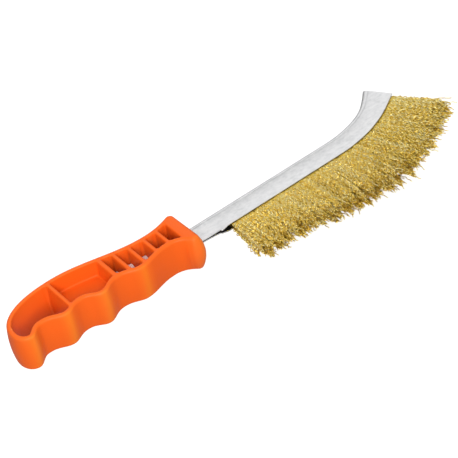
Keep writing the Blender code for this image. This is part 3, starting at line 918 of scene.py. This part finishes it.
def leg(fill, where, root, layer_share, side, chance):
    """One leg of each wire from the fold to the tip: centre lines as (wires, points, 3), and tones."""
    count = len(where)
    core, tip = fill.at(fill.core, where), fill.at(fill.tip, where)
    full = np.linalg.norm(tip - core, axis=1)
    down = (tip - core) / full[:, None]
    ahead = np.stack([-down[:, 1], down[:, 0]], axis=1)
    centre, longer = fill.tuft(where, side * layer_share)
    spacing = np.linalg.norm(fill.at(fill.tip, where + 0.5) - fill.at(fill.tip, where - 0.5), axis=1)
    away = (centre - where) / (np.mean(TUFT_WIDTHS) / 2)
    length, stray = leg_lengths(where, full, layer_share, away, longer, chance)

    lip = CHANNEL_DEPTH - CORE_DEPTH
    inside = np.tile(np.array(INSIDE_SHARES) * lip, (count, 1))
    outside = lip + (length - lip)[:, None] * np.linspace(0, 1, LEG_POINTS - len(INSIDE_SHARES))
    reach = np.concatenate([inside, outside], axis=1)
    out = np.clip((reach - lip) / (full - lip)[:, None], 0, FARTHEST_OUT)

    fan = fill.at(fill.fan, where) * layer_share + chance.normal(0, FAN_SPREAD, count)
    height = root[:, None] + (fan - root)[:, None] * out**FAN_POWER
    drift = chance.normal(0, DRIFT, count) + stray * chance.normal(0, STRAY_DRIFT, count)
    gather = ((centre - where) * spacing)[:, None]
    gathered = sum(amount * out**power for amount, power in (GATHER_EARLY, GATHER_LATE))
    sideways = drift[:, None] * out**2 + gather * gathered

    crimp_sideways, crimp_upwards, tone = crimp(reach, out, lip, side, chance)
    sideways = sideways + crimp_sideways
    height = side * height + crimp_upwards
    flat = core[:, None, :] + down[:, None, :] * reach[:, :, None]
    flat = flat + ahead[:, None, :] * sideways[:, :, None]
    return np.concatenate([flat, (MID + height)[:, :, None]], axis=2), tone


def fold(fill, where, root):
    """Centre lines of the half turns round the retaining wire, from the lower leg to the upper."""
    core, tip = fill.at(fill.core, where), fill.at(fill.tip, where)
    down = (tip - core) / np.linalg.norm(tip - core, axis=1)[:, None]
    angles = np.linspace(-math.pi / 2, -3 * math.pi / 2, FOLD_POINTS + 2)[1:-1]
    reach, height = root[:, None] * np.cos(angles), root[:, None] * np.sin(angles)
    flat = core[:, None, :] + down[:, None, :] * reach[:, :, None]
    return np.concatenate([flat, (MID + height)[:, :, None]], axis=2), down


def tube_points(lines, ahead):
    """The points of thin tubes along centre lines in mm, as an array of points in the frame."""
    along = np.gradient(lines, axis=1)
    along /= np.linalg.norm(along, axis=2, keepdims=True)
    first = np.cross(along, ahead[:, None, :])
    first /= np.linalg.norm(first, axis=2, keepdims=True)
    second = np.cross(along, first)
    rings = []
    for corner in range(TUBE_SIDES):
        angle = FULL_TURN * corner / TUBE_SIDES
        rings.append(lines + WIRE_RADIUS * (math.cos(angle) * first + math.sin(angle) * second))
    return np.stack(rings, axis=2).reshape(-1, 3) * MM + np.array(ORIGIN)


def tube_faces(count, length):
    """The side faces and the end caps of a number of tubes, each a number of points long."""
    rings = np.arange(count)[:, None] * length + np.arange(length - 1)[None, :]
    start = rings.reshape(-1) * TUBE_SIDES
    quads = []
    for corner in range(TUBE_SIDES):
        near, after = start + corner, start + (corner + 1) % TUBE_SIDES
        quads.append(np.stack([near, after, after + TUBE_SIDES, near + TUBE_SIDES], axis=1))
    ends = np.arange(count) * length * TUBE_SIDES
    last = ends + (length - 1) * TUBE_SIDES
    first_caps = np.stack([ends + corner for corner in reversed(range(TUBE_SIDES))], axis=1)
    last_caps = np.stack([last + corner for corner in range(TUBE_SIDES)], axis=1)
    return np.concatenate(quads), np.concatenate([first_caps, last_caps])


def tubes(name, lines, ahead, tones, finish):
    """One smooth-shaded mesh of thin tubes along centre lines, with a tone for each of their points."""
    points = tube_points(lines, ahead)
    quads, caps = tube_faces(*lines.shape[:2])
    mesh = bpy.data.meshes.new(name)
    mesh.vertices.add(len(points))
    mesh.vertices.foreach_set("co", points.ravel())
    corners = np.concatenate([quads.ravel(), caps.ravel()])
    sizes = np.concatenate([np.full(len(faces), faces.shape[1]) for faces in (quads, caps)])
    mesh.loops.add(len(corners))
    mesh.loops.foreach_set("vertex_index", corners.astype(np.int32))
    mesh.polygons.add(len(sizes))
    mesh.polygons.foreach_set("loop_start", (np.cumsum(sizes) - sizes).astype(np.int32))
    mesh.update(calc_edges=True)
    tone = mesh.attributes.new("tone", "FLOAT", "POINT")
    tone.data.foreach_set("value", np.repeat(tones.reshape(-1), TUBE_SIDES).astype(np.float32))
    mesh.shade_smooth()
    mesh.materials.append(finish)
    made = bpy.data.objects.new(name, mesh)
    bpy.context.scene.collection.objects.link(made)
    return made


def build_bundle(fill, number, finish):
    """The wires of one bundle, each folded over the retaining wire with two crimped legs."""
    chance = np.random.default_rng(BUNDLE_SEED + number)
    where = number + (np.arange(WIRES) + chance.uniform(*WIRE_SPREAD, WIRES)) / WIRES
    layer_share = chance.permutation(np.linspace(*LAYER_SHARES, WIRES))
    root = ROOT_RADIUS + ROOT_GROWTH * layer_share
    lower, lower_tone = leg(fill, where, root, layer_share, -1, chance)
    upper, upper_tone = leg(fill, where, root, layer_share, 1, chance)
    turn, down = fold(fill, where, root)
    lines = np.concatenate([lower[:, ::-1], turn, upper], axis=1)
    ahead = np.stack([-down[:, 1], down[:, 0], np.zeros(WIRES)], axis=1)
    tone = np.concatenate([lower_tone[:, ::-1], np.zeros((WIRES, FOLD_POINTS)), upper_tone], axis=1)
    tones = chance.normal(TONE, TONE_SPREAD, WIRES)[:, None] + tone
    piece = tubes(f"wires_{number + 1:02d}", lines, ahead, tones, finish)
    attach(piece, BODY)
    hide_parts(f"bristle_bundle_{number + 1:02d}")


def build_fill():
    fill = Fill()
    finish = brass_wire()
    for number in range(BUNDLE_COUNT):
        build_bundle(fill, number, finish)


def finish_core_wire():
    """The retaining wire is the CAD's own mesh with a procedural finish."""
    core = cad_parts["core_wire"]
    core.data.materials.clear()
    core.data.materials.append(drawn_steel())


# ---------------------------------------------------------------- stage


def add_area(name, place, size, power):
    light = bpy.data.lights.new(name, "AREA")
    light.shape = "DISK"
    light.size = size
    light.energy = power
    made = bpy.data.objects.new(name, light)
    made.location = place
    made.rotation_euler = (Vector(LIGHT_AIM) - Vector(place)).to_track_quat("-Z", "Y").to_euler()
    bpy.context.scene.collection.objects.link(made)


def studio_world():
    """A white tent: bright overhead, dim below, with a dark band at the height of the horizon."""
    world = bpy.data.worlds.new("studio")
    world.use_nodes = True
    tree = world.node_tree
    direction = tree.nodes.new("ShaderNodeTexCoord")
    parts = tree.nodes.new("ShaderNodeSeparateXYZ")
    height = tree.nodes.new("ShaderNodeMapRange")
    height.inputs["From Min"].default_value = -1.0
    ramp = tree.nodes.new("ShaderNodeValToRGB")
    while len(ramp.color_ramp.elements) < len(WORLD_STOPS):
        ramp.color_ramp.elements.new(1.0)
    for element, (place, level) in zip(ramp.color_ramp.elements, WORLD_STOPS):
        element.position = place
        element.color = (level, level, level, 1.0)
    tree.links.new(direction.outputs["Generated"], parts.inputs[0])
    tree.links.new(parts.outputs["Z"], height.inputs["Value"])
    tree.links.new(height.outputs[0], ramp.inputs[0])
    tree.links.new(ramp.outputs["Color"], tree.nodes["Background"].inputs["Color"])
    return world


def build_floor():
    """A round pale floor that curves up into a wall, open at the top, which only the camera sees."""
    turns = steps(0, FULL_TURN, FLOOR_TURNS)[:-1]
    profile = [(FLOOR_RADIUS / 2, 0.0), (FLOOR_RADIUS, 0.0)]
    for a in steps(0, math.pi / 2, WALL_STEPS)[1:]:
        profile.append((FLOOR_RADIUS + WALL_RADIUS * math.sin(a), WALL_RADIUS * (1 - math.cos(a))))
    profile.append((FLOOR_RADIUS + WALL_RADIUS, WALL_TOP))
    points, faces = loft([[(r * math.cos(a), r * math.sin(a), z) for a in turns] for r, z in profile])
    open_top = faces[:1] + faces[2:]
    floor = add_mesh("floor", points, open_top, floor_finish(), Vector((0, 0, -FLOOR_GAP)), 1.0)
    shade(floor, FLOOR_SMOOTH)
    floor.visible_diffuse = False
    floor.visible_glossy = False
    floor.visible_shadow = False


def build_lights():
    bpy.context.scene.world = studio_world()
    add_area("key", KEY_PLACE, KEY_SIZE, KEY_POWER)
    add_area("rear", REAR_PLACE, REAR_SIZE, REAR_POWER)


def build_camera():
    azimuth, elevation, roll = (math.radians(a) for a in CAMERA_ANGLES)
    aim = ORIGIN + Vector(CAMERA_AIM) * MM
    across = math.cos(elevation)
    back = Vector((math.sin(azimuth) * across, -math.cos(azimuth) * across, math.sin(elevation)))
    data = bpy.data.cameras.new("camera")
    data.sensor_width = SENSOR_WIDTH
    data.lens = LENS
    camera = bpy.data.objects.new("camera", data)
    camera.location = aim + back
    camera.rotation_mode = "QUATERNION"
    camera.rotation_quaternion = back.to_track_quat("Z", "Y") @ Quaternion((0, 0, 1), roll)
    bpy.context.scene.collection.objects.link(camera)
    bpy.context.scene.camera = camera
    bpy.context.scene.view_settings.view_transform = "Standard"


build_handle()
build_channel()
build_fill()
finish_core_wire()
build_floor()
build_lights()
build_camera()
